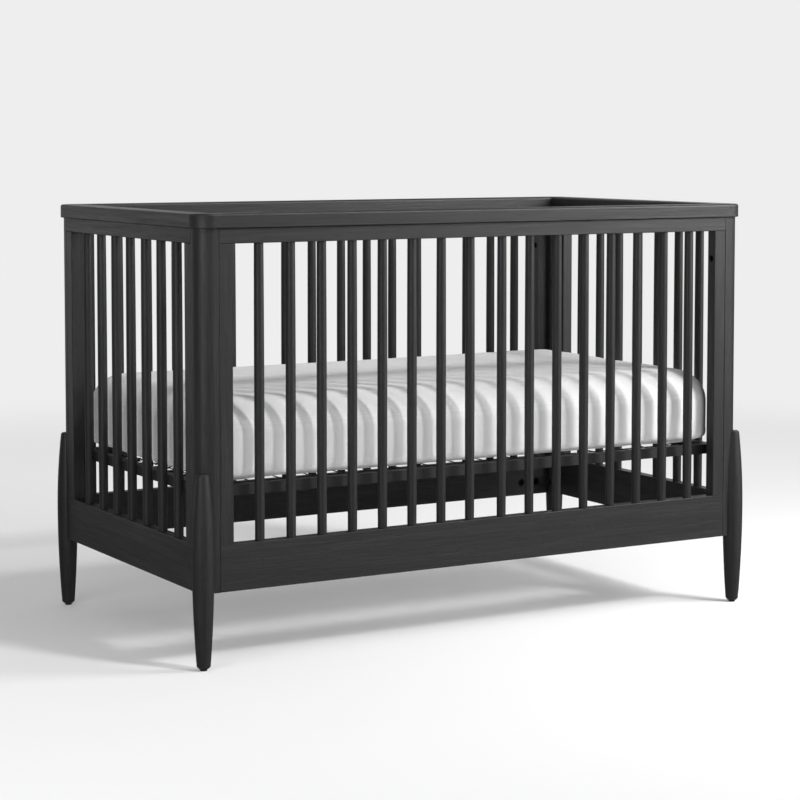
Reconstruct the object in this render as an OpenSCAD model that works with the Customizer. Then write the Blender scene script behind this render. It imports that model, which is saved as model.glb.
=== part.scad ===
// Baby crib: a dowelled hardwood frame with turned spindles and legs,
// a bolted wire-spring mattress support and a mattress.
// Origin: on the floor, under the middle of the crib. X runs along the crib, +Y to its back.

/* [Overall] */
// Length over the corner posts
body_l = 1385; // [1180:5:1700]
// Depth over the corner posts
body_d = 765; // [640:5:940]
// Height of the top of the cap rail above the floor
body_h = 936; // [800:2:1140]

/* [Cap rail] */
// Thickness of the cap rail
cap_t = 30; // [18:1:45]
// Width of the cap rail, seen from above
cap_w = 52; // [46:1:70]
// Overhang of the cap rail past the posts
cap_over = 7; // [2:0.5:14]
// Plan radius of the cap's outer corners
cap_corner_r = 40; // [20:1:46]
// Radius rolled along the cap's top edges
cap_edge_r = 5; // [2:0.5:9]

/* [Posts, rails and stiles] */
// Width of a corner post along the crib
post_l = 45; // [40:1:60]
// Width of a corner post across the crib
post_d = 42; // [38:1:60]
// Radius of a post's outer corner
post_r = 33; // [16:1:36]
// Thickness of the rails and stiles
rail_t = 27; // [22:0.5:34]
// Height of the top rails, under the cap
top_rail_h = 32; // [24:1:60]
// Height of the bottom rails
bottom_rail_h = 97.5; // [60:0.5:140]
// Height of the bottom rails above the floor
bottom_rail_z = 159; // [110:1:230]
// Width of the stiles in the front and back panels
side_stile_w = 30; // [26:1:44]
// Width of the stiles in the end panels
end_stile_w = 31; // [26:1:44]
// Ease planed along the long edges of posts, rails and stiles
edge_ease = 1.2; // [0.4:0.1:2]

/* [Spindles] */
// Thickest diameter of a spindle, at half height
spindle_d = 21.4; // [16:0.2:26]
// Diameter of a spindle at its shoulders
spindle_end_d = 20; // [15:0.2:26]
// Distance between spindles in the front and back panels
side_pitch = 73; // [55:0.5:80]
// Distance between the two middle spindles of those panels
middle_pitch = 82; // [55:0.5:86]
// Distance between spindles in the end panels
end_pitch = 81.7; // [55:0.1:84]
// Smallest gap between a spindle and a stile
stile_gap = 20; // [8:1:30]
// Diameter of the round tenons on the spindles
tenon_d = 14; // [10:0.5:18]
// Length of those tenons
tenon_l = 14; // [8:1:24]

/* [Legs] */
// Height of the top of the legs above the floor
leg_h = 405; // [300:1:520]
// Thickest diameter of a leg
leg_d = 46; // [36:1:60]
// Height of the leg's thickest place above the floor
leg_wide_z = 228; // [180:1:280]
// Diameter of a leg at its top
leg_top_d = 27; // [20:1:40]
// Diameter of a leg at its foot
leg_foot_d = 29; // [20:1:40]
// Distance of a leg's axis inside the two outer faces of its post
leg_inset = 9; // [6:0.5:14]
// Diameter of the foot glides
glide_d = 15; // [10:1:20]
// Height of the foot glides
glide_h = 4; // [2:0.5:8]

/* [Mattress support] */
// Height of the top of the support frame above the bottom rails, at the lowest setting
lowest_rise = 20; // [20:0.5:60]
// Height of the angle section of the support frame
angle_h = 22; // [16:1:30]
// Width of the top flange of that angle section
angle_w = 20; // [14:1:30]
// Thickness of that angle section
angle_t = 2; // [1.5:0.5:3]
// Gap between the support frame and the end panels
support_end_gap = 8.5; // [7:0.5:14]
// Gap between the support frame and the inner face of the posts
support_post_gap = 2.5; // [1.5:0.5:10]
// Distance between the height settings
level_pitch = 95; // [60:1:110]
// Diameter of the mesh wires
wire_d = 2.6; // [2:0.1:4]
// Wires that run along the crib
long_wires = 9; // [5:1:13]
// Wires that run across the crib
cross_wires = 17; // [9:1:25]
// Outer diameter of the mesh springs
spring_d = 10; // [7:0.5:12]
// Length of the mesh springs
spring_l = 34; // [24:1:44]

/* [Mattress] */
// Gap between the mattress and the end panels
mattress_end_gap = 10; // [6:1:25]
// Gap between the mattress and the front and back panels
mattress_side_gap = 8.5; // [6:0.5:25]
// Thickness of the mattress
mattress_t = 177; // [100:1:190]
// Plan radius of the mattress corners
mattress_corner_r = 65; // [60:1:110]
// Radius of the mattress edges
mattress_edge_r = 56; // [20:1:60]

/* [Fasteners] */
// Diameter of the panel bolts
bolt_d = 6; // [5:0.5:8]
// Diameter of the bolt heads
bolt_head_d = 12; // [10:0.5:13]
// Height of the bolt heads
bolt_head_h = 4; // [3:0.5:6]
// Diameter of the counterbores over the bolt heads
counterbore_d = 15; // [13:0.5:18]
// Depth of the counterbores
counterbore_h = 9; // [6:0.5:14]
// Distance of the panel bolts below the top rails
panel_bolt_drop = 64; // [20:1:120]
// Diameter of the threaded inserts
insert_d = 9; // [8:0.5:12]
// Depth of the threaded inserts for the support bolts
insert_l = 16; // [10:1:20]
// Diameter of the rail fittings that show on the inside of the long bottom rails
fitting_d = 20; // [14:1:24]
// Diameter of the wooden dowels
dowel_d = 8; // [6:1:10]
// Half length of the wooden dowels
dowel_half = 20; // [12:1:22]
// Diameter of the leg bolts
leg_bolt_d = 8; // [6:0.5:8]

/* [Hidden] */
half_l = body_l / 2;
half_d = body_d / 2;
cap_z = body_h - cap_t;
top_rail_z = cap_z - top_rail_h;
bottom_rail_top = bottom_rail_z + bottom_rail_h;
inner_x = half_l - rail_t;
inner_y = half_d - rail_t;
post_in_x = half_l - post_l;
post_in_y = half_d - post_d;
side_stile_x = post_in_x - side_stile_w;
end_stile_y = post_in_y - end_stile_w;
cap_in_x = half_l + cap_over - cap_w;
cap_in_y = half_d + cap_over - cap_w;
leg_x = half_l - leg_inset;
leg_y = half_d - leg_inset;
side_half_count = floor((side_stile_x - middle_pitch / 2 - spindle_d / 2 - stile_gap) / side_pitch) + 1;
end_count = 2 * floor((end_stile_y - spindle_d / 2 - stile_gap) / end_pitch) + 1;
panel_bolt_z = top_rail_z - panel_bolt_drop;
support_z = bottom_rail_top + lowest_rise + level_pitch;
leg_chamfer = 4.5;
leg_top_ease = 3;
profile_steps = 10;
fit_clear = 0.05;
body_clear = 0.3;
frame_x = inner_x - support_end_gap;
frame_y = post_in_y - support_post_gap;
support_bottom = support_z - angle_h;
wire_drop = 1.5;
wire_z = support_z - spring_d / 2 - wire_drop;
spring_slack = 14;
mesh_x = frame_x - angle_w - spring_l - spring_slack;
mesh_y = frame_y - angle_w - spring_l - spring_slack;
hook_d = 2;
hook_in = 6;
plate_t = 3;
plate_x = inner_x - body_clear - plate_t;
plate_h = 44;
plate_z = support_z - 23;
plate_y0 = end_stile_y + 2;
plate_y1 = post_in_y;
web_w = 9;
web_h = angle_h - 6;
height_bolt_y = plate_y1 - 9.5;
height_bolt_z = support_z - 14;
height_bolt_gap = 26;
height_head_h = 3.6;
height_head_d = 11;
mattress_x = inner_x - mattress_end_gap;
mattress_y = inner_y - mattress_side_gap;
mattress_z = support_z + body_clear;
fitting_z = bottom_rail_z + bottom_rail_h / 3;
fitting_in = 34;
fitting_gap = 45;
fitting_depth = 13;
fitting_recess = 2;
fitting_socket = 8;
fitting_socket_h = 4;
panel_insert_l = 22;
panel_bolt_short = 4;
panel_bolt_clear = 0.6;
dowel_rise = 22;
leg_bolt_rise = 30;
leg_bolt_drop = 65;
leg_bolt_zs = [bottom_rail_z + leg_bolt_rise, leg_h - leg_bolt_drop];
leg_bolt_reach = 12;
leg_head_d = 14;
leg_head_cover = 1;
leg_head_sink = bolt_head_h + leg_head_d / 2 + abs(post_l - post_d) / sqrt(2) + leg_head_cover;
socket_width = 0.75;
socket_depth = 0.6;
ends = [-1, 1];
$fn = 48;

// Everything is drawn for the back right corner, then mirrored to the corner asked for.
module corner(side_x, side_y) {
  mirror([side_x < 0 ? 1 : 0, 0, 0])
    mirror([0, side_y < 0 ? 1 : 0, 0])
      children();
}

module every_corner() {
  for (side_x = ends)
    for (side_y = ends)
      corner(side_x, side_y) children();
}

// A rectangle with planed corners
module eased_rect(w, h) {
  e = edge_ease;
  polygon([[e, 0], [w - e, 0], [w, e], [w, h - e], [w - e, h], [e, h], [0, h - e], [0, e]]);
}

// A bar along X, from x0 to x1, its section starting at y, z
module bar_x(x0, x1, y, z, w, h) {
  translate([x0, y, z]) rotate([90, 0, 90]) linear_extrude(x1 - x0) eased_rect(w, h);
}

// A bar along Y, from y0 to y1
module bar_y(y0, y1, x, z, w, h) {
  translate([x, y1, z]) rotate([90, 0, 0]) linear_extrude(y1 - y0) eased_rect(w, h);
}

// A bar along Z
module bar_z(z0, z1, x, y, w, h) {
  translate([x, y, z0]) linear_extrude(z1 - z0) eased_rect(w, h);
}

// ---- Spindle places

function side_spindle_x(i) = middle_pitch / 2 + i * side_pitch;
function end_spindle_y(i) = (i - (end_count - 1) / 2) * end_pitch;
side_axis_y = half_d - rail_t / 2;
end_axis_x = half_l - rail_t / 2;

module side_mortises(z) {
  for (side_x = ends)
    for (i = [0 : side_half_count - 1])
      translate([side_x * side_spindle_x(i), side_axis_y, z])
        cylinder(d = tenon_d + 2 * fit_clear, h = tenon_l + 1, $fn = 32);
}

module end_mortises(z) {
  for (i = [0 : end_count - 1])
    translate([end_axis_x, end_spindle_y(i), z])
      cylinder(d = tenon_d + 2 * fit_clear, h = tenon_l + 1, $fn = 32);
}

// ---- Cap rail

function roll(x, z, r, from, to) =
  [for (k = [0 : 6]) [x + r * cos(from + (to - from) * k / 6), z + r * sin(from + (to - from) * k / 6)]];

// Section of the cap: outer edge at w, inner edge at 0, each top edge rolled or square
module cap_section(w, roll_in) {
  r = cap_edge_r;
  e = edge_ease;
  outer = roll(w - r, cap_t - r, r, 0, 90);
  inner = roll_in ? roll(r, cap_t - r, r, 90, 180) : [[0, cap_t]];
  polygon(concat([[0, 0], [w - e, 0], [w, e]], outer, inner));
}

module cap_side() {
  color("#2c2c2c")
    translate([-cap_in_x, cap_in_y, cap_z])
      rotate([90, 0, 90]) linear_extrude(2 * cap_in_x) cap_section(cap_w, true);
}

module cap_end() {
  core_x = half_l + cap_over - cap_corner_r;
  core_y = half_d + cap_over - cap_corner_r;
  color("#2c2c2c") {
    translate([cap_in_x, cap_in_y, cap_z])
      rotate([90, 0, 0]) linear_extrude(2 * cap_in_y) cap_section(cap_w, true);
    for (side_y = ends) corner(1, side_y) {
      translate([cap_in_x, core_y, cap_z])
        rotate([90, 0, 0]) linear_extrude(core_y - cap_in_y) cap_section(cap_w, false);
      translate([cap_in_x, core_y, cap_z])
        rotate([90, 0, 90]) linear_extrude(core_x - cap_in_x) cap_section(cap_corner_r, false);
      translate([core_x, core_y, cap_z])
        rotate_extrude(angle = 90, $fn = 96) cap_section(cap_corner_r, false);
    }
  }
}

// ---- Rails

module top_rail_side() {
  color("#303030") difference() {
    bar_x(-post_in_x, post_in_x, inner_y, top_rail_z, rail_t, top_rail_h);
    side_mortises(top_rail_z - 1);
  }
}

module bottom_rail_side() {
  color("#303030") difference() {
    bar_x(-post_in_x, post_in_x, inner_y, bottom_rail_z, rail_t, bottom_rail_h);
    side_mortises(bottom_rail_top - tenon_l);
    for (side_x = ends)
      for (x = [post_in_x - fitting_in, post_in_x - fitting_in - fitting_gap])
        translate([side_x * x, inner_y - 1, fitting_z])
          rotate([-90, 0, 0]) cylinder(d = fitting_d, h = fitting_depth + 1);
  }
}

module dowel_holes(x, y, z) {
  translate([x, y, z]) rotate([90, 0, 0])
    cylinder(d = dowel_d + 2 * fit_clear, h = 2 * dowel_half + 1, center = true);
}

end_dowel_zs = [top_rail_z + top_rail_h / 2, bottom_rail_z + dowel_rise, bottom_rail_top - dowel_rise];

module top_rail_end() {
  color("#303030") difference() {
    bar_y(-post_in_y, post_in_y, inner_x, top_rail_z, rail_t, top_rail_h);
    end_mortises(top_rail_z - 1);
    for (side_y = ends) dowel_holes(end_axis_x, side_y * post_in_y, end_dowel_zs[0]);
  }
}

module bottom_rail_end() {
  color("#303030") difference() {
    bar_y(-post_in_y, post_in_y, inner_x, bottom_rail_z, rail_t, bottom_rail_h);
    end_mortises(bottom_rail_top - tenon_l);
    for (side_y = ends)
      for (k = [1, 2])
        dowel_holes(end_axis_x, side_y * post_in_y, end_dowel_zs[k]);
  }
}

module end_rail_dowels() {
  color("#b08d5f") every_corner()
    for (z = end_dowel_zs)
      translate([end_axis_x, post_in_y, z]) rotate([90, 0, 0])
        cylinder(d = dowel_d, h = 2 * dowel_half, center = true, $fn = 32);
}

// ---- Posts and stiles

// Plan of a post without its round corner or its eased edges
module post_plan_square() {
  translate([post_in_x, post_in_y]) square([post_l, post_d]);
}

// What lies beyond the post's round corner
module post_outside() {
  difference() {
    translate([half_l - post_r, half_d - post_r]) square(post_r + leg_d);
    translate([half_l - post_r, half_d - post_r]) circle(r = post_r, $fn = 96);
  }
}

// Plan of a post: square inside, one large round corner outside
module post_plan() {
  difference() {
    post_plan_square();
    post_outside();
    for (p = [[post_in_x, half_d], [half_l, post_in_y], [post_in_x, post_in_y]])
      translate(p) rotate(45) square(edge_ease * sqrt(2), center = true);
  }
}

// A line through the leg's axis at 45 degrees, pointing into the crib
module on_leg_diagonal(z) {
  translate([leg_x, leg_y, z]) rotate([0, -90, 45]) children();
}

leg_bolt_corner = (leg_x - post_in_x + leg_y - post_in_y) / sqrt(2);

module leg_bolt_holes() {
  for (z = leg_bolt_zs)
    on_leg_diagonal(z) {
      translate([0, 0, -leg_bolt_reach - 1])
        cylinder(d = leg_bolt_d + 2 * fit_clear, h = leg_bolt_corner + leg_bolt_reach);
      translate([0, 0, leg_bolt_corner - leg_head_sink])
        cylinder(d = leg_head_d + 2, h = leg_head_sink + 20);
    }
}

module post() {
  color("#2e2e2e") difference() {
    translate([0, 0, bottom_rail_z]) linear_extrude(cap_z - bottom_rail_z) post_plan();
    translate([post_in_x - 1, side_axis_y, panel_bolt_z])
      rotate([0, 90, 0]) cylinder(d = insert_d, h = panel_insert_l + 1);
    for (z = end_dowel_zs) dowel_holes(end_axis_x, post_in_y, z);
    leg_bolt_holes();
  }
}

module side_stile() {
  color("#323232") difference() {
    bar_z(bottom_rail_top, top_rail_z, side_stile_x, inner_y, side_stile_w, rail_t);
    translate([side_stile_x, side_axis_y, panel_bolt_z]) rotate([0, 90, 0]) {
      translate([0, 0, -1]) cylinder(d = bolt_d + panel_bolt_clear, h = side_stile_w + 2);
      translate([0, 0, -1]) cylinder(d = counterbore_d, h = counterbore_h + 1);
    }
  }
}

height_levels = [-level_pitch, 0, level_pitch];
height_bolt_zs = [height_bolt_z, height_bolt_z + height_bolt_gap];

module at_height_inserts() {
  for (level = height_levels)
    for (z = height_bolt_zs)
      translate([inner_x, height_bolt_y, z + level]) rotate([0, 90, 0]) children();
}

module end_stile() {
  color("#323232") difference() {
    bar_z(bottom_rail_top, top_rail_z, inner_x, end_stile_y, rail_t, end_stile_w);
    at_height_inserts() translate([0, 0, -1]) cylinder(d = insert_d, h = insert_l + 1);
  }
}

module height_inserts() {
  color("#8b8b88") every_corner()
    at_height_inserts() difference() {
      cylinder(d = insert_d, h = insert_l);
      translate([0, 0, -1]) cylinder(d = bolt_d, h = insert_l + 2);
    }
}

// ---- Spindles

// A spindle swells by a parabola from its shoulders to its middle
module spindle(z0, z1) {
  span = z1 - z0;
  swell = (spindle_d - spindle_end_d) / 2;
  side = [for (k = [0 : profile_steps])
    let (t = 2 * k / profile_steps - 1) [spindle_d / 2 - swell * t * t, z0 + span * k / profile_steps]];
  rotate_extrude($fn = 40) polygon(concat(
    [[0, z0 - tenon_l + 1], [tenon_d / 2, z0 - tenon_l + 1], [tenon_d / 2, z0]],
    side,
    [[tenon_d / 2, z1], [tenon_d / 2, z1 + tenon_l - 1], [0, z1 + tenon_l - 1]]));
}

module side_spindles() {
  color("#2a2a2a")
    for (i = [0 : side_half_count - 1])
      translate([side_spindle_x(i), side_axis_y, 0]) spindle(bottom_rail_top, top_rail_z);
}

module end_spindles() {
  color("#2a2a2a")
    for (i = [0 : end_count - 1])
      translate([end_axis_x, end_spindle_y(i), 0]) spindle(bottom_rail_top, top_rail_z);
}

// ---- Legs

// A leg swells by one parabola from its foot and by another from its top
function leg_r(z) =
  z < leg_wide_z
    ? leg_d / 2 - (leg_d - leg_foot_d) / 2 * pow((leg_wide_z - z) / (leg_wide_z - glide_h - leg_chamfer), 2)
    : leg_d / 2 - (leg_d - leg_top_d) / 2 * pow((z - leg_wide_z) / (leg_h - leg_top_ease - leg_wide_z), 2);

module leg() {
  low = glide_h + leg_chamfer;
  high = leg_h - leg_top_ease;
  lower = [for (k = [0 : profile_steps])
    let (z = low + (leg_wide_z - low) * k / profile_steps) [leg_r(z), z]];
  upper = [for (k = [1 : profile_steps])
    let (z = leg_wide_z + (high - leg_wide_z) * k / profile_steps) [leg_r(z), z]];
  color("#2c2c2c") difference() {
    translate([leg_x, leg_y, 0]) rotate_extrude($fn = 72) polygon(concat(
      [[0, glide_h], [leg_foot_d / 2 - leg_chamfer, glide_h]],
      lower, upper,
      [[leg_top_d / 2 - leg_top_ease, leg_h], [0, leg_h]]));
    difference() {
      translate([0, 0, bottom_rail_z]) linear_extrude(leg_h) post_plan_square();
      translate([0, 0, bottom_rail_z - 1]) linear_extrude(leg_h + 2) post_outside();
    }
    leg_bolt_holes();
  }
}

module foot_glides() {
  color("#111111") every_corner()
    translate([leg_x, leg_y, 0]) cylinder(d = glide_d, h = glide_h);
}

// ---- Fasteners

module bolt(shank_d, shank_l, head_d, head_h) {
  difference() {
    union() {
      cylinder(d = shank_d, h = shank_l);
      translate([0, 0, -head_h]) cylinder(d = head_d, h = head_h);
    }
    translate([0, 0, -head_h - 1]) cylinder(d = shank_d * socket_width, h = head_h * socket_depth + 1, $fn = 6);
  }
}

module panel_bolts() {
  reach = side_stile_w - counterbore_h + panel_insert_l - panel_bolt_short;
  color("#1a1a1c") every_corner()
    translate([side_stile_x + counterbore_h, side_axis_y, panel_bolt_z])
      rotate([0, 90, 0]) bolt(bolt_d, reach, bolt_head_d, bolt_head_h);
}

module panel_inserts() {
  color("#8b8b88") every_corner()
    translate([post_in_x, side_axis_y, panel_bolt_z]) rotate([0, 90, 0]) difference() {
        cylinder(d = insert_d, h = panel_insert_l);
        translate([0, 0, -1]) cylinder(d = bolt_d, h = panel_insert_l + 2);
      }
}

module leg_bolts() {
  seat = leg_bolt_corner - leg_head_sink;
  color("#1a1a1c") every_corner()
    for (z = leg_bolt_zs)
      on_leg_diagonal(z) translate([0, 0, seat]) mirror([0, 0, 1])
        bolt(leg_bolt_d, seat + leg_bolt_reach, leg_head_d, bolt_head_h);
}

module rail_fittings() {
  color("#161616") every_corner()
    for (x = [post_in_x - fitting_in, post_in_x - fitting_in - fitting_gap])
      translate([x, inner_y + fitting_depth, fitting_z]) rotate([90, 0, 0]) difference() {
        cylinder(d = fitting_d, h = fitting_depth - fitting_recess);
        translate([0, 0, fitting_depth - fitting_recess - fitting_socket_h])
          cylinder(d = fitting_socket, h = fitting_socket_h + 1, $fn = 6);
      }
}

// ---- Mattress support

module support_rail_side() {
  color("#1c1c1e") union() {
    translate([-frame_x, frame_y - angle_t, support_bottom]) cube([2 * frame_x, angle_t, angle_h]);
    translate([-frame_x, frame_y - angle_w, support_z - angle_t]) cube([2 * frame_x, angle_w, angle_t]);
  }
}

module support_rail_end() {
  wall_y = frame_y - angle_t;
  flange_y = frame_y - angle_w;
  color("#1c1c1e") union() {
    translate([frame_x - angle_t, -wall_y, support_bottom]) cube([angle_t, 2 * wall_y, angle_h - angle_t]);
    translate([frame_x - angle_w, -flange_y, support_z - angle_t]) cube([angle_w, 2 * flange_y, angle_t]);
  }
}

// A bracket is a plate against the stile and a short web welded to the frame
module bracket() {
  color("#141416") difference() {
    union() {
      translate([plate_x, plate_y0, plate_z]) cube([plate_t, plate_y1 - plate_y0, plate_h]);
      translate([frame_x, plate_y0, support_bottom + 2]) cube([plate_x - frame_x, web_w, web_h]);
    }
    for (z = height_bolt_zs)
      translate([plate_x - 1, height_bolt_y, z])
        rotate([0, 90, 0]) cylinder(d = bolt_d + 2 * fit_clear, h = plate_t + 2);
  }
}

// The bolts' threaded ends are left off past the plate, so that the support can slide
module height_bolts() {
  color("#2a2a2c") every_corner()
    for (z = height_bolt_zs)
      translate([plate_x, height_bolt_y, z])
        rotate([0, 90, 0]) bolt(bolt_d, plate_t, height_head_d, height_head_h);
}

function long_wire_y(i) = mesh_y * (2 * i / (long_wires - 1) - 1);
function cross_wire_x(i) = mesh_x * (2 * i / (cross_wires - 1) - 1);

module mesh_long_wires() {
  color("#222224") for (i = [0 : long_wires - 1])
    translate([-mesh_x - wire_d, long_wire_y(i), wire_z])
      rotate([0, 90, 0]) cylinder(d = wire_d, h = 2 * (mesh_x + wire_d), $fn = 16);
}

module mesh_cross_wires() {
  color("#222224") for (i = [0 : cross_wires - 1])
    translate([cross_wire_x(i), mesh_y + wire_d, wire_z - wire_d - fit_clear])
      rotate([90, 0, 0]) cylinder(d = wire_d, h = 2 * (mesh_y + wire_d), $fn = 16);
}

// A spring along Z with a straight hook wire from 0 to reach and a turned-up end
module mesh_spring(reach, rise) {
  middle = reach / 2;
  rotate([0, 90, 0]) {
    cylinder(d = hook_d, h = reach, $fn = 16);
    translate([0, 0, middle - spring_l / 2]) cylinder(d = spring_d, h = spring_l, $fn = 24);
  }
  translate([reach - hook_d / 2, 0, 0]) cylinder(d = hook_d, h = rise, $fn = 16);
}

module mesh_end_springs() {
  start = mesh_x + wire_d;
  color("#3a3a3c") for (side_x = ends) corner(side_x, 1)
    for (i = [0 : long_wires - 1])
      translate([start, long_wire_y(i), wire_z])
        mesh_spring(frame_x - angle_w + hook_in - start, support_z - angle_t - wire_z);
}

module mesh_side_springs() {
  start = mesh_y + wire_d;
  low = wire_z - wire_d - fit_clear;
  color("#3a3a3c") for (side_y = ends) corner(1, side_y)
    for (i = [0 : cross_wires - 1])
      translate([cross_wire_x(i), start, low]) rotate([0, 0, 90])
        mesh_spring(frame_y - angle_w + hook_in - start, support_z - angle_t - low);
}

// ---- Mattress

module mattress_puck() {
  r = mattress_edge_r;
  flat_r = mattress_corner_r - r;
  low = [for (a = [-90 : 15 : 0]) [flat_r + r * cos(a), r + r * sin(a)]];
  high = [for (a = [0 : 15 : 90]) [flat_r + r * cos(a), mattress_t - r + r * sin(a)]];
  rotate_extrude($fn = 32) polygon(concat([[0, 0]], low, high, [[0, mattress_t]]));
}

module mattress() {
  color("#e4e4e6") translate([0, 0, mattress_z]) hull()
    every_corner()
      translate([mattress_x - mattress_corner_r, mattress_y - mattress_corner_r, 0]) mattress_puck();
}

corner(1, -1) cap_side();  // cap_front
cap_side();  // cap_back
corner(-1, 1) cap_end();  // cap_left
cap_end();  // cap_right
corner(1, -1) top_rail_side();  // top_rail_front
top_rail_side();  // top_rail_back
corner(-1, 1) top_rail_end();  // top_rail_left
top_rail_end();  // top_rail_right
corner(1, -1) bottom_rail_side();  // bottom_rail_front
bottom_rail_side();  // bottom_rail_back
corner(-1, 1) bottom_rail_end();  // bottom_rail_left
bottom_rail_end();  // bottom_rail_right
corner(-1, -1) post();  // post_front_left
corner(1, -1) post();  // post_front_right
corner(-1, 1) post();  // post_back_left
post();  // post_back_right
corner(-1, -1) side_stile();  // stile_front_left
corner(1, -1) side_stile();  // stile_front_right
corner(-1, 1) side_stile();  // stile_back_left
side_stile();  // stile_back_right
corner(-1, -1) end_stile();  // end_stile_front_left
corner(1, -1) end_stile();  // end_stile_front_right
corner(-1, 1) end_stile();  // end_stile_back_left
end_stile();  // end_stile_back_right
corner(-1, -1) side_spindles();  // spindles_front_left
corner(1, -1) side_spindles();  // spindles_front_right
corner(-1, 1) side_spindles();  // spindles_back_left
side_spindles();  // spindles_back_right
corner(-1, 1) end_spindles();  // spindles_left_end
end_spindles();  // spindles_right_end
corner(-1, -1) leg();  // leg_front_left
corner(1, -1) leg();  // leg_front_right
corner(-1, 1) leg();  // leg_back_left
leg();  // leg_back_right
foot_glides();
panel_bolts();
panel_inserts();
leg_bolts();
end_rail_dowels();
rail_fittings();
height_inserts();
corner(1, -1) support_rail_side();  // support_rail_front
support_rail_side();  // support_rail_back
corner(-1, 1) support_rail_end();  // support_rail_left
support_rail_end();  // support_rail_right
corner(-1, -1) bracket();  // bracket_front_left
corner(1, -1) bracket();  // bracket_front_right
corner(-1, 1) bracket();  // bracket_back_left
bracket();  // bracket_back_right
height_bolts();
mesh_long_wires();
mesh_cross_wires();
mesh_end_springs();
mesh_side_springs();
mattress();
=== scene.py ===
# Baby crib with turned spindles and legs, a wire mattress support and a fitted sheet, for Blender 4.5.
import math

import bpy
import numpy as np
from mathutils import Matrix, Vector, noise


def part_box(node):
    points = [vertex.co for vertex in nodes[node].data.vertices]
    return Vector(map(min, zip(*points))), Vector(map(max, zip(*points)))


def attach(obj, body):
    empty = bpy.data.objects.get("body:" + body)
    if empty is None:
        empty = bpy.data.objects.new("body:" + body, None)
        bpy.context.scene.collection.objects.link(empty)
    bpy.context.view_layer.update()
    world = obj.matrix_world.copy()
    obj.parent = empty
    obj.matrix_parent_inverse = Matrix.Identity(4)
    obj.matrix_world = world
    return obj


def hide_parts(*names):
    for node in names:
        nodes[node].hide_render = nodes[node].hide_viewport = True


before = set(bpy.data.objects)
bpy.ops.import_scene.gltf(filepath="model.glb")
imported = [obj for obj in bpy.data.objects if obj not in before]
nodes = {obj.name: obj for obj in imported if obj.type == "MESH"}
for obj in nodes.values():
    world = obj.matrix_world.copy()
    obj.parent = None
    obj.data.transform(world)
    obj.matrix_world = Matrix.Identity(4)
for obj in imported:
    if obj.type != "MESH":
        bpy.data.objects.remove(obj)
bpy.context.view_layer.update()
print("frame loaded:", len(nodes), "nodes")


def fromHex(code):
    # sRGB hex to the linear colour that nodes take
    parts = [int(code[i : i + 2], 16) / 255 for i in (1, 3, 5)]
    return [p / 12.92 if p <= 0.04045 else ((p + 0.055) / 1.055) ** 2.4 for p in parts] + [1.0]


def addNode(tree, kind, inputs=None, stops=None, **settings):
    # adds a node, sets it and links it; inputs holds plain values or other nodes' sockets
    node = tree.nodes.new(kind)
    for name, value in settings.items():
        setattr(node, name, value)
    for place, (position, code) in enumerate(stops or []):
        band = node.color_ramp.elements
        step = band[place] if place < 2 else band.new(position)
        step.position = position
        step.color = fromHex(code)
    for name, value in (inputs or {}).items():
        if isinstance(value, bpy.types.NodeSocket):
            tree.links.new(value, node.inputs[name])
        else:
            node.inputs[name].default_value = value
    return node


def newMaterial(name):
    material = bpy.data.materials.new(name)
    material.use_nodes = True
    tree = material.node_tree
    tree.nodes.clear()
    return material, tree


def dress(material, *names):
    for name in names:
        nodes[name].data.materials.clear()
        nodes[name].data.materials.append(material)


# wood

stainedWood = {
    "dark": "#1b1b1c",
    "mid": "#212122",
    "light": "#292929",
    "pore": "#131314",
    "wanderWidth": 0.05,  # m over which the growth rings drift sideways
    "wanderLength": 0.35,
    "figureWidth": 0.016,  # m across a growth ring on a flat-sawn face
    "figureLength": 0.42,
    "streakWidth": 0.0034,  # real grain lines are 1 mm apart; drawn wider so that they show
    "streakLength": 0.09,
    "poreWidth": 0.0017,  # real pores are 0.3 mm wide; drawn wider so that they show
    "poreLength": 0.03,
    "roughness": 0.44,
    "shine": 0.34,
    "poreDepth": 0.0004,
}


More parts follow.
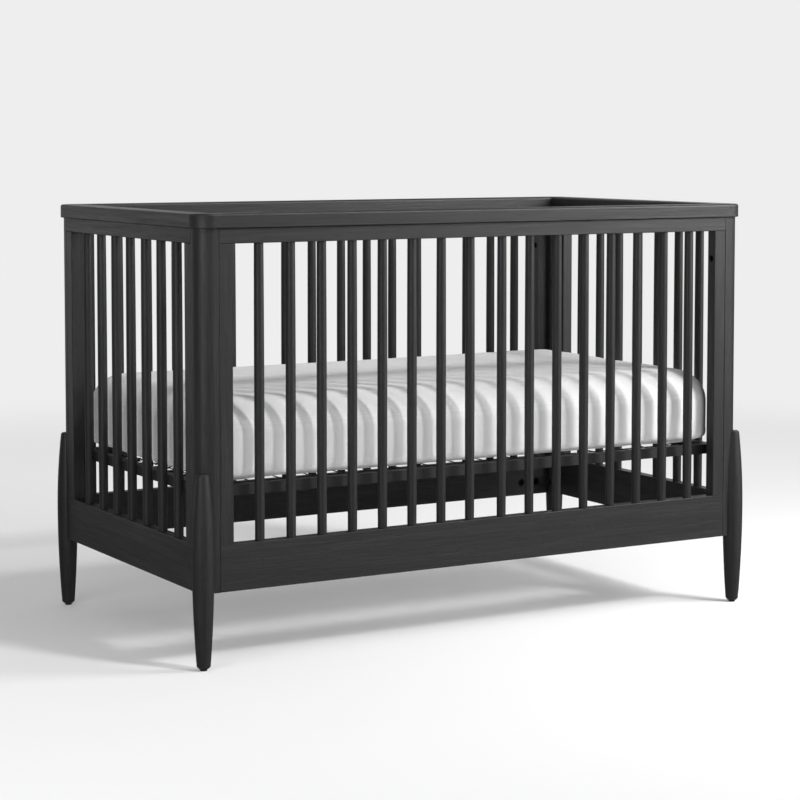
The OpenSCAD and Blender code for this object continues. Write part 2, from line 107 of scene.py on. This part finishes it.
def makeStainedWood(name, along):
    # Open-pored hardwood, planed, stained black and sealed with a satin lacquer. The pores and the
    # soft growth rings stay visible as faint streaks, and the film gives a broad, dull shine.
    look = stainedWood
    material, tree = newMaterial(name)
    place = addNode(tree, "ShaderNodeTexCoord").outputs["Object"]

    def stretched(width, length, shift):
        size = [1 / width] * 3
        size[along] = 1 / length
        return addNode(
            tree, "ShaderNodeMapping", {"Vector": place, "Scale": size, "Location": shift}
        ).outputs["Vector"]

    wanderPlace = stretched(look["wanderWidth"], look["wanderLength"], (3, 1, 7))
    wander = addNode(tree, "ShaderNodeTexNoise", {"Vector": wanderPlace, "Scale": 1.0, "Detail": 2.0})
    figurePlace = addNode(
        tree,
        "ShaderNodeVectorMath",
        {0: stretched(look["figureWidth"], look["figureLength"], (0, 5, 2)), 1: wander.outputs["Color"]},
        operation="ADD",
    )
    figure = addNode(
        tree,
        "ShaderNodeTexNoise",
        {
            "Vector": figurePlace.outputs[0],
            "Scale": 1.0,
            "Detail": 4.0,
            "Roughness": 0.6,
            "Distortion": 0.6,
        },
    ).outputs[0]
    streaks = addNode(
        tree,
        "ShaderNodeTexNoise",
        {
            "Vector": stretched(look["streakWidth"], look["streakLength"], (11, 0, 4)),
            "Scale": 1.0,
            "Detail": 3.0,
            "Roughness": 0.6,
        },
    ).outputs[0]
    porePlace = stretched(look["poreWidth"], look["poreLength"], (0, 9, 1))
    pores = addNode(
        tree, "ShaderNodeTexNoise", {"Vector": porePlace, "Scale": 1.0, "Detail": 1.0}
    ).outputs[0]
    grain = addNode(tree, "ShaderNodeMath", {0: figure, 1: streaks}, operation="ADD").outputs[0]
    grainTone = addNode(
        tree,
        "ShaderNodeMapRange",
        {"Value": grain, "From Min": 0.72, "From Max": 1.28, "To Min": 0.0, "To Max": 1.0},
    ).outputs[0]
    tone = addNode(
        tree,
        "ShaderNodeValToRGB",
        {"Fac": grainTone},
        stops=[(0.0, look["dark"]), (1.0, look["light"]), (0.5, look["mid"])],
    ).outputs["Color"]
    poreMask = addNode(
        tree,
        "ShaderNodeMapRange",
        {"Value": pores, "From Min": 0.60, "From Max": 0.70, "To Min": 0.0, "To Max": 0.75},
    ).outputs[0]
    colour = addNode(
        tree,
        "ShaderNodeMix",
        {0: poreMask, 6: tone, 7: fromHex(look["pore"])},
        data_type="RGBA",
    ).outputs[2]
    rough = addNode(
        tree,
        "ShaderNodeMapRange",
        {
            "Value": grain,
            "From Min": 0.7,
            "From Max": 1.3,
            "To Min": look["roughness"] + 0.07,
            "To Max": look["roughness"] - 0.05,
        },
    ).outputs[0]
    relief = addNode(
        tree, "ShaderNodeMath", {0: grainTone, 1: poreMask}, operation="SUBTRACT"
    ).outputs[0]
    bump = addNode(
        tree,
        "ShaderNodeBump",
        {"Height": relief, "Strength": 0.45, "Distance": look["poreDepth"]},
    ).outputs["Normal"]
    shader = addNode(
        tree,
        "ShaderNodeBsdfPrincipled",
        {
            "Base Color": colour,
            "Roughness": rough,
            "Normal": bump,
            "IOR": 1.5,
            "Specular IOR Level": look["shine"],
        },
    )
    addNode(tree, "ShaderNodeOutputMaterial", {"Surface": shader.outputs[0]})
    return material


corners = ("front_left", "front_right", "back_left", "back_right")
woodAlongCrib = makeStainedWood("black_stained_wood_along_crib", 0)
woodAcrossCrib = makeStainedWood("black_stained_wood_across_crib", 1)
woodUpright = makeStainedWood("black_stained_wood_upright", 2)
lyingPieces = ("cap_", "top_rail_", "bottom_rail_")
standingPieces = ("post_", "stile_", "end_stile_", "spindles_", "leg_")
dress(woodAlongCrib, *(piece + side for piece in lyingPieces for side in ("front", "back")))
dress(woodAcrossCrib, *(piece + side for piece in lyingPieces for side in ("left", "right")))
dress(woodUpright, *(piece + corner for piece in standingPieces for corner in corners))
dress(woodUpright, "spindles_left_end", "spindles_right_end")

beech = {
    "light": "#c9a273",
    "dark": "#a87f50",
    "fleckWidth": 0.0009,
    "fleckLength": 0.006,
    "fleckDepth": 0.0002,
}


def makeBeech():
    # Beech dowel, turned and fluted, left raw: pale, dull, with short darker flecks along it.
    material, tree = newMaterial("beech_dowel")
    place = addNode(tree, "ShaderNodeTexCoord").outputs["Object"]
    size = (1 / beech["fleckWidth"], 1 / beech["fleckLength"], 1 / beech["fleckWidth"])
    stretched = addNode(tree, "ShaderNodeMapping", {"Vector": place, "Scale": size}).outputs[0]
    flecks = addNode(
        tree, "ShaderNodeTexNoise", {"Vector": stretched, "Scale": 1.0, "Detail": 2.0}
    ).outputs[0]
    tones = [(0.35, beech["dark"]), (0.6, beech["light"])]
    colour = addNode(tree, "ShaderNodeValToRGB", {"Fac": flecks}, stops=tones).outputs["Color"]
    bump = addNode(
        tree, "ShaderNodeBump", {"Height": flecks, "Strength": 0.3, "Distance": beech["fleckDepth"]}
    ).outputs[0]
    rough = addNode(
        tree, "ShaderNodeMapRange", {"Value": flecks, "To Min": 0.75, "To Max": 0.6}
    ).outputs[0]
    values = {"Base Color": colour, "Roughness": rough, "Normal": bump, "IOR": 1.5}
    shader = addNode(tree, "ShaderNodeBsdfPrincipled", values)
    addNode(tree, "ShaderNodeOutputMaterial", {"Surface": shader.outputs[0]})
    return material


dress(makeBeech(), "end_rail_dowels")
print("wood dressed")

# metal and plastic

# grit is the width in m of the finest mottling, depth how far it stands out
surfaces = {
    "powder": {"dark": "#161617", "light": "#232325", "grit": 0.0022, "roughness": 0.5, "depth": 0.0002},
    "oxide": {"dark": "#1b1b1d", "light": "#303034", "grit": 0.0012, "roughness": 0.36, "depth": 0.0001},
    "spring": {"dark": "#2b2b2e", "light": "#4a4a4f", "grit": 0.0012, "roughness": 0.36, "depth": 0.0001},
    "zinc": {"dark": "#8f9194", "light": "#b9bbbd", "grit": 0.004, "roughness": 0.38, "depth": 0.0001},
    "nylon": {"dark": "#0d0d0e", "light": "#19191a", "grit": 0.0011, "roughness": 0.55, "depth": 0.0001},
}


def makeSurface(name, look, metallic):
    # one mottled surface: two close tones, roughness and bump from the same grit
    material, tree = newMaterial(name)
    place = addNode(tree, "ShaderNodeTexCoord").outputs["Object"]
    fine = addNode(
        tree, "ShaderNodeTexNoise", {"Vector": place, "Scale": 1 / look["grit"], "Detail": 2.0}
    ).outputs[0]
    broad = addNode(
        tree, "ShaderNodeTexNoise", {"Vector": place, "Scale": 0.08 / look["grit"], "Detail": 3.0}
    ).outputs[0]
    both = addNode(tree, "ShaderNodeMath", {0: fine, 1: broad}, operation="ADD").outputs[0]
    share = addNode(
        tree, "ShaderNodeMapRange", {"Value": both, "From Min": 0.7, "From Max": 1.3}
    ).outputs[0]
    colour = addNode(
        tree, "ShaderNodeValToRGB", {"Fac": share}, stops=[(0.0, look["dark"]), (1.0, look["light"])]
    ).outputs["Color"]
    rough = addNode(
        tree,
        "ShaderNodeMapRange",
        {"Value": share, "To Min": look["roughness"] + 0.08, "To Max": look["roughness"] - 0.06},
    ).outputs[0]
    bump = addNode(
        tree, "ShaderNodeBump", {"Height": fine, "Strength": 0.4, "Distance": look["depth"]}
    ).outputs[0]
    values = {"Base Color": colour, "Roughness": rough, "Normal": bump, "Metallic": metallic}
    shader = addNode(tree, "ShaderNodeBsdfPrincipled", values)
    addNode(tree, "ShaderNodeOutputMaterial", {"Surface": shader.outputs[0]})
    return material


# Steel angle, powder coated in a cabinet and baked: black, satin, with a faint orange peel.
powderCoat = makeSurface("powder_coated_steel", surfaces["powder"], 0.0)
dress(powderCoat, *("support_rail_" + side for side in ("front", "back", "left", "right")))
dress(powderCoat, *("bracket_" + corner for corner in corners))
dress(powderCoat, "mesh_long_wires", "mesh_cross_wires")

# Screws and bolts blackened in an oxide bath: dark metal with a low, oily shine.
blackOxide = makeSurface("black_oxide_steel", surfaces["oxide"], 1.0)
dress(blackOxide, "panel_bolts", "leg_bolts", "height_bolts", "rail_fittings")

# Drawn spring wire, tempered in oil: dark grey metal with drawing marks.
springWire = makeSurface("oil_tempered_spring_wire", surfaces["spring"], 1.0)

# Turned steel inserts, zinc plated: pale grey metal with a cloudy bloom.
zincPlate = makeSurface("zinc_plated_steel", surfaces["zinc"], 1.0)
dress(zincPlate, "panel_inserts", "height_inserts")

# Foot glides, nylon, moulded black: dull with a fine spark-eroded texture.
nylon = makeSurface("moulded_nylon", surfaces["nylon"], 0.0)
dress(nylon, "foot_glides")
print("metal and plastic dressed")


# modelling helpers


def onlyThis(item):
    if bpy.context.object and bpy.context.object.mode != "OBJECT":
        bpy.ops.object.mode_set(mode="OBJECT")
    bpy.ops.object.select_all(action="DESELECT")
    item.select_set(True)
    bpy.context.view_layer.objects.active = item


def pickEdges(item, wanted):
    # selects the edges whose two ends meet the test, and leaves the piece in edit mode
    onlyThis(item)
    bpy.ops.object.mode_set(mode="EDIT")
    bpy.ops.mesh.select_mode(type="EDGE")
    bpy.ops.mesh.select_all(action="DESELECT")
    bpy.ops.object.mode_set(mode="OBJECT")
    points = item.data.vertices
    for edge in item.data.edges:
        edge.select = wanted(points[edge.vertices[0]].co, points[edge.vertices[1]].co)
    bpy.ops.object.mode_set(mode="EDIT")


def settle(item):
    # puts the piece's place, turn and size into its mesh
    onlyThis(item)
    bpy.ops.object.transform_apply(location=True, rotation=True, scale=True)


def applyAll(item):
    onlyThis(item)
    for modifier in list(item.modifiers):
        bpy.ops.object.modifier_apply(modifier=modifier.name)


# mattress in its fitted sheet

mattressPiece = {
    "start": 0.010,  # m that the form is smaller all round before it is blown up
    "corner": 0.060,
    "upperEdge": 0.066,
    "lowerEdge": 0.010,
    "voxel": 0.011,
    "pressure": 2.5,
    "frames": 20,
    "cap": 0.013,  # m of travel that no point may go past
    "proud": 0.003,  # m that gathers may stand past the mattress's own sides
    "rest": 0.0004,  # m that the underside stays above the floor of the mattress's box
    "fill": 0.85,
    "rounding": 8,  # steps that each bevelled edge is made of
    "quality": 5,  # cloth steps to a frame
    "puckerDepth": 0.0084,  # m at the most, in and out together
    "puckerPitch": 0.030,
    "rim": 0.08,  # m in from the sides, where the border of the underside starts
    "rimStart": 0.03,  # m further out, where the droop and the gathers start
    "puckerLean": 9,  # how far the gathers wander as they rise
    "patchRepeat": 3.1,  # busy and calm stretches of gathers to a metre
    "patchLeast": 0.35,  # share of the depth that is left in the calmest stretches
    "patchMore": 0.9,
    "droop": 0.002,  # m that the elastic pulls the lower rim down; it still ends above the middle
    "droopWidth": 0.025,
    "puckerBand": 0.040,  # m above the underside that the gathers reach
}


def makeMattress():
    low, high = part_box("mattress")
    middle = (low + high) / 2
    half = (high - low) / 2
    start = mattressPiece["start"]
    onlyThis(nodes["mattress"])
    bpy.ops.object.select_all(action="DESELECT")
    bpy.ops.mesh.primitive_cube_add(size=2, location=middle, scale=[h - start for h in half])
    form = bpy.context.object
    form.name = "mattress_in_sheet"
    settle(form)
    pickEdges(form, lambda a, b: abs(a.z - b.z) > 0.01)
    rounding = mattressPiece["rounding"]
    bpy.ops.mesh.bevel(offset=mattressPiece["corner"], segments=rounding, affect="EDGES")
    bpy.ops.object.mode_set(mode="OBJECT")
    for level, radius in ((high.z - start, "upperEdge"), (low.z + start, "lowerEdge")):
        pickEdges(form, lambda a, b: abs(a.z - level) < 1e-4 and abs(b.z - level) < 1e-4)
        bpy.ops.mesh.bevel(offset=mattressPiece[radius], segments=rounding, affect="EDGES")
        bpy.ops.object.mode_set(mode="OBJECT")
    remesh = form.modifiers.new("even", "REMESH")
    remesh.mode = "VOXEL"
    remesh.voxel_size = mattressPiece["voxel"]
    applyAll(form)
    print("mattress form:", len(form.data.vertices), "points")
    inflate(form)
    swell = form.modifiers.new("smooth", "SUBSURF")
    swell.levels = 1
    swell.render_levels = 1
    applyAll(form)
    fillSpace(form, low, high)
    shape(form, low, high)
    onlyThis(form)
    bpy.ops.object.shade_smooth()
    return form


def inflate(form):
    # The foam pushes the sheet out from inside. Left free, points go more than ten times further
    # than the cap, so the cap sets most of the final shape.
    before = np.array([v.co for v in form.data.vertices])
    cloth = form.modifiers.new("sheet", "CLOTH")
    cloth.settings.use_pressure = True
    cloth.settings.uniform_pressure_force = mattressPiece["pressure"]
    cloth.settings.effector_weights.gravity = 0
    cloth.settings.quality = mattressPiece["quality"]
    cloth.collision_settings.use_collision = False
    cloth.point_cache.frame_start = 1
    cloth.point_cache.frame_end = mattressPiece["frames"]
    scene = bpy.context.scene
    for number in range(1, mattressPiece["frames"] + 1):
        scene.frame_set(number)
    applyAll(form)
    scene.frame_set(1)
    after = np.array([v.co for v in form.data.vertices])
    step = after - before
    reach = np.linalg.norm(step, axis=1, keepdims=True)
    cap = mattressPiece["cap"]
    held = cap * np.tanh(reach / cap)
    step *= held / np.maximum(reach, 1e-9)
    form.data.vertices.foreach_set("co", (before + step).ravel())
    form.data.update()
    print("sheet simulated, largest free travel", round(float(reach.max()), 4), "held to", cap)


def fillSpace(form, low, high):
    # scales the finished form so that it just fills the mattress's own box
    points = np.array([v.co for v in form.data.vertices])
    least, most = points.min(0), points.max(0)
    wanted = np.array(high - low)
    points = np.array(low) + (points - least) / (most - least) * wanted
    form.data.vertices.foreach_set("co", points.ravel())
    form.data.update()


def shape(form, low, high):
    # keeps the sheet in its own space and gathers its lower edge
    look = mattressPiece
    band, rim, rimStart, proud = (look[name] for name in ("puckerBand", "rim", "rimStart", "proud"))
    middle = (low + high) / 2
    half = (high - low) / 2
    inner = Vector((half.x - rim, half.y - rim, 0))
    for point in form.data.vertices:
        p = point.co
        offset = p - middle
        out = Vector((
            offset.x - max(-inner.x, min(inner.x, offset.x)),
            offset.y - max(-inner.y, min(inner.y, offset.y)),
            0,
        ))
        reach = out.length
        if reach > rimStart:
            out /= reach
            height = (p.z - low.z) / band
            if height < 1:
                along = offset.x if abs(out.y) > 0.7 else offset.y
                around = math.atan2(out.y, out.x) * rim + along
                wave = noise.noise(Vector((around / look["puckerPitch"], 0.3, p.z * look["puckerLean"])))
                spot = offset * look["patchRepeat"]
                busy = max(0.0, noise.noise(Vector((spot.x, spot.y, 4.0))))
                patch = look["patchLeast"] + look["patchMore"] * busy
                rise = math.sin(math.pi * max(0.0, min(1.0, height)))
                fade = rise * min(1.0, (reach - rimStart) / rimStart)
                p += out * wave * patch * fade * look["puckerDepth"]
        hang = look["droop"] * max(0.0, min(1.0, (reach - rimStart) / look["droopWidth"]))
        p.x = max(low.x - proud, min(high.x + proud, p.x))
        p.y = max(low.y - proud, min(high.y + proud, p.y))
        p.z = max(low.z + look["rest"], min(high.z + proud, p.z))
        p.z -= hang * max(0.0, 1 - (p.z - low.z) / band)
    form.data.update()


cottonSheet = {
    "thread": "#dedede",
    # painted shade: the sheet's colour in its soft hollows and between the threads
    "shade": "#cdcdcd",
    "pitch": 0.0030,  # real threads are 0.3 mm apart; drawn ten times wider so that they show
    "crease": 0.11,
    "depth": 0.0002,
    "roughness": 0.86,
    "sheen": 0.12,
}


def makeCotton():
    # Cotton percale, woven plain and bleached: matt, with a fine even weave and soft hollows. Its colour
    # carries painted shade: darker in the hollows and between the threads.
    look = cottonSheet
    material, tree = newMaterial("cotton_percale")
    place = addNode(tree, "ShaderNodeTexCoord").outputs["Object"]
    scale = 2 * math.pi / 20 / look["pitch"]
    threads = [
        addNode(
            tree,
            "ShaderNodeTexWave",
            {"Vector": place, "Scale": scale, "Distortion": 0.4, "Detail": 1.0},
            bands_direction=axis,
        ).outputs[1]
        for axis in ("X", "Y", "Z")
    ]
    pair = addNode(tree, "ShaderNodeMath", {0: threads[0], 1: threads[1]}, operation="ADD").outputs[0]
    weave = addNode(tree, "ShaderNodeMath", {0: pair, 1: threads[2]}, operation="ADD").outputs[0]
    hollowsAndShade = addNode(
        tree,
        "ShaderNodeTexNoise",
        {"Vector": place, "Scale": 1 / look["crease"], "Detail": 3.0, "Roughness": 0.5},
    ).outputs[0]
    share = addNode(
        tree,
        "ShaderNodeMapRange",
        {"Value": weave, "From Min": 0.4, "From Max": 2.4, "To Min": 0.35, "To Max": 1.0},
    ).outputs[0]
    # painted shade: the colour darkens in the soft hollows and between the threads
    paintedShadeShare = addNode(tree, "ShaderNodeMath", {0: share, 1: hollowsAndShade}, operation="MULTIPLY").outputs[0]
    colour = addNode(
        tree,
        "ShaderNodeValToRGB",
        {"Fac": paintedShadeShare},
        stops=[(0.0, look["shade"]), (0.5, look["thread"])],
    ).outputs["Color"]
    rough = addNode(
        tree,
        "ShaderNodeMapRange",
        {
            "Value": weave,
            "From Max": 3.0,
            "To Min": look["roughness"] + 0.06,
            "To Max": look["roughness"] - 0.04,
        },
    ).outputs[0]
    soft = addNode(
        tree, "ShaderNodeBump", {"Height": hollowsAndShade, "Strength": 0.25, "Distance": 0.006}
    ).outputs[0]
    bump = addNode(
        tree,
        "ShaderNodeBump",
        {"Height": weave, "Strength": 0.25, "Distance": look["depth"], "Normal": soft},
    ).outputs[0]
    values = {
        "Base Color": colour,
        "Roughness": rough,
        "Normal": bump,
        "IOR": 1.45,
        "Sheen Weight": look["sheen"],
    }
    shader = addNode(tree, "ShaderNodeBsdfPrincipled", values)
    addNode(tree, "ShaderNodeOutputMaterial", {"Surface": shader.outputs[0]})
    return material


mattress = makeMattress()
mattress.data.materials.append(makeCotton())
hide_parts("mattress")
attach(mattress, "mattress")
print("mattress made")

# coil springs between the wire mesh and the steel frame

coilSpring = {
    "wire": 0.0020,
    "outer": 0.0098,
    "turns": 11,
    "length": 0.034,
    "stepsPerTurn": 12,
    "hookRadius": 0.0032,
    "hookSteps": 14,
    "sides": 6,  # corners of the wire's section
    "smoothAngle": 50,
    "lap": 0.001,  # m that a straight tail runs into the coil and into the hook
    "hooked": 0.002,  # m that a hook reaches in over the end of its wire
    "longWires": 9,
    "crossWires": 17,
}


def makeSpring():
    # the coil of one spring, wound along +Z from 0; springSet turns it along +X and adds the tails, one
    # hook ring and the upright end
    look = coilSpring
    radius = (look["outer"] - look["wire"]) / 2
    bpy.ops.object.select_all(action="DESELECT")
    bpy.ops.mesh.primitive_circle_add(
        vertices=look["sides"],
        radius=look["wire"] / 2,
        location=(radius, 0, 0),
        rotation=(math.pi / 2, 0, 0),
    )
    coil = bpy.context.object
    settle(coil)
    screw = coil.modifiers.new("coil", "SCREW")
    screw.axis = "Z"
    screw.iterations = look["turns"]
    screw.screw_offset = (look["length"] - look["wire"]) / look["turns"]
    screw.steps = look["stepsPerTurn"]
    screw.render_steps = look["stepsPerTurn"]
    applyAll(coil)
    bpy.ops.object.mode_set(mode="EDIT")
    bpy.ops.mesh.select_all(action="SELECT")
    bpy.ops.mesh.remove_doubles(threshold=0.00001)
    bpy.ops.mesh.select_all(action="DESELECT")
    bpy.ops.mesh.select_non_manifold()
    bpy.ops.mesh.fill_holes(sides=8)
    bpy.ops.mesh.select_all(action="SELECT")
    bpy.ops.mesh.normals_make_consistent(inside=False)
    bpy.ops.object.mode_set(mode="OBJECT")
    return coil


def springSet(node, name, places, reach, rise):
    # places holds where each spring starts and which way it points
    look = coilSpring
    spring = makeSpring()
    onlyThis(spring)
    spring.rotation_euler = (0, math.pi / 2, 0)
    spring.location = ((reach - look["length"] + look["wire"]) / 2, 0, 0)
    settle(spring)
    ring = look["hookRadius"]
    parts = [spring]
    gap = (reach - look["length"]) / 2
    lap = look["lap"]
    tails = ((ring * 2 - lap, gap - ring * 2 + 2 * lap), (reach - gap - lap, gap + lap))
    for start, length in tails:
        bpy.ops.object.select_all(action="DESELECT")
        bpy.ops.mesh.primitive_cylinder_add(
            vertices=look["sides"],
            radius=look["wire"] / 2,
            depth=length,
            location=(start + length / 2, 0, 0),
            rotation=(0, math.pi / 2, 0),
        )
        parts.append(bpy.context.object)
    bpy.ops.object.select_all(action="DESELECT")
    bpy.ops.mesh.primitive_torus_add(
        major_segments=look["hookSteps"],
        minor_segments=look["sides"],
        major_radius=ring,
        minor_radius=look["wire"] / 2,
        location=(ring, 0, 0),
        rotation=(math.pi / 2, 0, 0),
    )
    parts.append(bpy.context.object)
    bpy.ops.object.select_all(action="DESELECT")
    bpy.ops.mesh.primitive_cylinder_add(
        vertices=look["sides"],
        radius=look["wire"] / 2,
        depth=rise,
        location=(reach - look["wire"] / 2, 0, rise / 2),
    )
    parts.append(bpy.context.object)
    bpy.ops.object.select_all(action="DESELECT")
    for part in parts:
        part.select_set(True)
    bpy.context.view_layer.objects.active = spring
    bpy.ops.object.join()
    settle(spring)
    copies = []
    for place, turn in places:
        copy = spring.copy()
        copy.data = spring.data.copy()
        bpy.context.scene.collection.objects.link(copy)
        copy.rotation_euler = (0, 0, turn)
        copy.location = place
        settle(copy)
        copies.append(copy)
    bpy.ops.object.select_all(action="DESELECT")
    spring.select_set(True)
    bpy.ops.object.delete()
    bpy.ops.object.select_all(action="DESELECT")
    for copy in copies:
        copy.select_set(True)
    bpy.context.view_layer.objects.active = copies[0]
    bpy.ops.object.join()
    springs = bpy.context.object
    springs.name = name
    bpy.ops.object.shade_smooth_by_angle(angle=math.radians(look["smoothAngle"]))
    springs.data.materials.append(springWire)
    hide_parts(node)
    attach(springs, "support")


def makeSprings():
    longLow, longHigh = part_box("mesh_long_wires")
    crossLow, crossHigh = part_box("mesh_cross_wires")
    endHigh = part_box("mesh_end_springs")[1]
    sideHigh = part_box("mesh_side_springs")[1]
    wire = longHigh.z - longLow.z
    ends, sides = [], []
    across = (longHigh.y - longLow.y - wire) / (coilSpring["longWires"] - 1)
    along = (crossHigh.x - crossLow.x - wire) / (coilSpring["crossWires"] - 1)
    level = (longHigh.z + longLow.z) / 2
    lower = (crossHigh.z + crossLow.z) / 2
    hooked = coilSpring["hooked"]
    for number in range(coilSpring["longWires"]):
        y = longLow.y + wire / 2 + number * across
        ends += [((longHigh.x - hooked, y, level), 0.0), ((longLow.x + hooked, y, level), math.pi)]
    for number in range(coilSpring["crossWires"]):
        x = crossLow.x + wire / 2 + number * along
        sides += [
            ((x, crossHigh.y - hooked, lower), math.pi / 2),
            ((x, crossLow.y + hooked, lower), -math.pi / 2),
        ]
    endReach = endHigh.x - longHigh.x + hooked
    sideReach = sideHigh.y - crossHigh.y + hooked
    springSet("mesh_end_springs", "end_coil_springs", ends, endReach, endHigh.z - level)
    springSet("mesh_side_springs", "side_coil_springs", sides, sideReach, sideHigh.z - lower)


makeSprings()
print("springs made")

# stage, light and camera

stageLook = {
    "floor": "#d3d3d3",
    "floorGlow": 0.18,  # keeps the shadows on the floor as pale as in a white studio
    "horizon": "#eeeeee",
    "fadeStart": 1.6,  # m from the middle, where the floor begins to turn into the backdrop
    "fadeEnd": 4.5,
    "floorRadius": 60,
    "worldStrength": 0.16,
    "keyWay": (-0.60, 0.93, -1.0),
    "keyStrength": 1.62,
    "keyAngle": 8.0,
    "lampTarget": 0.5,  # m above the floor, where the soft boxes point
}

# soft boxes: turn round the crib in degrees from its front, height angle, distance, size, watts
softBoxes = {
    "front_high": {"turn": 0, "rise": 45, "away": 3.2, "size": 1.6, "power": 3.0},
    "front_right": {"turn": 50, "rise": 8, "away": 3.2, "size": 1.6, "power": 10.0},
    "front_low": {"turn": 24, "rise": 8, "away": 3.2, "size": 1.6, "power": 12.0},
    "left_low": {"turn": -57, "rise": 8, "away": 3.2, "size": 1.6, "power": 23.0},
    "left_high": {"turn": -60, "rise": 45, "away": 3.2, "size": 1.6, "power": 9.5},
    "back_left": {"turn": -150, "rise": 8, "away": 3.2, "size": 1.6, "power": 5.0},
    "overhead": {"turn": 0, "rise": 89.9, "away": 3.0, "size": 2.5, "power": 13.0},
    "back_high": {"turn": 180, "rise": 35, "away": 3.2, "size": 1.6, "power": 9.0},
    "back_right": {"turn": 125, "rise": 20, "away": 3.2, "size": 1.6, "power": 8.0},
}
# a small box close to the right front corner lifts the wood at that end
cornerBox = {"spot": (1.83, -1.47, 1.62), "target": (0.75, -0.38, 0.9), "size": 1.0, "power": 56.0}


def makeFloor():
    bpy.ops.object.select_all(action="DESELECT")
    bpy.ops.mesh.primitive_circle_add(
        vertices=64, radius=stageLook["floorRadius"], fill_type="NGON", location=(0, 0, 0)
    )
    floor = bpy.context.object
    floor.name = "studio_floor"
    # Painted board, rolled matt: plain and pale, it turns into the backdrop far away.
    material, tree = newMaterial("matt_painted_floor")
    place = addNode(tree, "ShaderNodeTexCoord").outputs["Object"]
    far = addNode(tree, "ShaderNodeVectorMath", {0: place}, operation="LENGTH").outputs["Value"]
    share = addNode(
        tree,
        "ShaderNodeMapRange",
        {"Value": far, "From Min": stageLook["fadeStart"], "From Max": stageLook["fadeEnd"]},
        interpolation_type="SMOOTHSTEP",
    ).outputs[0]
    paint = addNode(
        tree, "ShaderNodeBsdfDiffuse", {"Color": fromHex(stageLook["floor"]), "Roughness": 0.0}
    ).outputs[0]
    glow = addNode(tree, "ShaderNodeEmission", {"Strength": stageLook["floorGlow"]}).outputs[0]
    near = addNode(tree, "ShaderNodeAddShader", {0: paint, 1: glow}).outputs[0]
    away = addNode(
        tree, "ShaderNodeEmission", {"Color": fromHex(stageLook["horizon"]), "Strength": 1.0}
    ).outputs[0]
    both = addNode(tree, "ShaderNodeMixShader", {0: share, 1: near, 2: away}).outputs[0]
    addNode(tree, "ShaderNodeOutputMaterial", {"Surface": both})
    floor.data.materials.append(material)
    floor.visible_glossy = False


def makeWorld():
    world = bpy.data.worlds.new("studio")
    bpy.context.scene.world = world
    world.use_nodes = True
    tree = world.node_tree
    tree.nodes.clear()
    seen = addNode(tree, "ShaderNodeLightPath").outputs["Is Camera Ray"]
    backdrop = addNode(
        tree, "ShaderNodeBackground", {"Color": fromHex(stageLook["horizon"]), "Strength": 1.0}
    ).outputs[0]
    fill = addNode(
        tree, "ShaderNodeBackground", {"Color": (1, 1, 1, 1), "Strength": stageLook["worldStrength"]}
    ).outputs[0]
    both = addNode(tree, "ShaderNodeMixShader", {0: seen, 1: fill, 2: backdrop}).outputs[0]
    addNode(tree, "ShaderNodeOutputWorld", {"Surface": both})


def aim(item, direction):
    item.rotation_euler = Vector(direction).to_track_quat("-Z", "Y").to_euler()


def addBox(name, spot, target, box):
    data = bpy.data.lights.new(name, "AREA")
    data.energy = box["power"]
    data.shape = "SQUARE"
    data.size = box["size"]
    lamp = bpy.data.objects.new(name, data)
    bpy.context.scene.collection.objects.link(lamp)
    lamp.location = spot
    lamp.visible_camera = False
    aim(lamp, target - spot)


def makeLights():
    key = bpy.data.lights.new("key", "SUN")
    key.energy = stageLook["keyStrength"]
    key.angle = math.radians(stageLook["keyAngle"])
    keyLamp = bpy.data.objects.new("key", key)
    bpy.context.scene.collection.objects.link(keyLamp)
    aim(keyLamp, stageLook["keyWay"])
    middle = Vector((0, 0, stageLook["lampTarget"]))
    for name, box in softBoxes.items():
        turn, rise = math.radians(box["turn"]), math.radians(box["rise"])
        level = math.cos(rise)
        way = Vector((math.sin(turn) * level, -math.cos(turn) * level, math.sin(rise)))
        addBox(name, middle + way * box["away"], middle, box)
    addBox("corner", Vector(cornerBox["spot"]), Vector(cornerBox["target"]), cornerBox)


cameraPlace = {
    "spot": (-2.57, -4.442, 1.086),
    "turn": -30.02,
    "down": 3.83,
    "lens": 99.5,
    "sensor": 36,
    "shift": -0.141,
}


def makeCamera():
    data = bpy.data.cameras.new("camera")
    data.lens = cameraPlace["lens"]
    data.sensor_width = cameraPlace["sensor"]
    data.shift_y = cameraPlace["shift"]
    data.clip_end = 200
    camera = bpy.data.objects.new("camera", data)
    bpy.context.scene.collection.objects.link(camera)
    camera.location = cameraPlace["spot"]
    tilt = math.radians(90 - cameraPlace["down"])
    camera.rotation_euler = (tilt, 0, math.radians(cameraPlace["turn"]))
    bpy.context.scene.camera = camera


makeFloor()
makeWorld()
makeLights()
makeCamera()
bpy.context.scene.view_settings.view_transform = "Standard"
print("stage, light and camera ready")
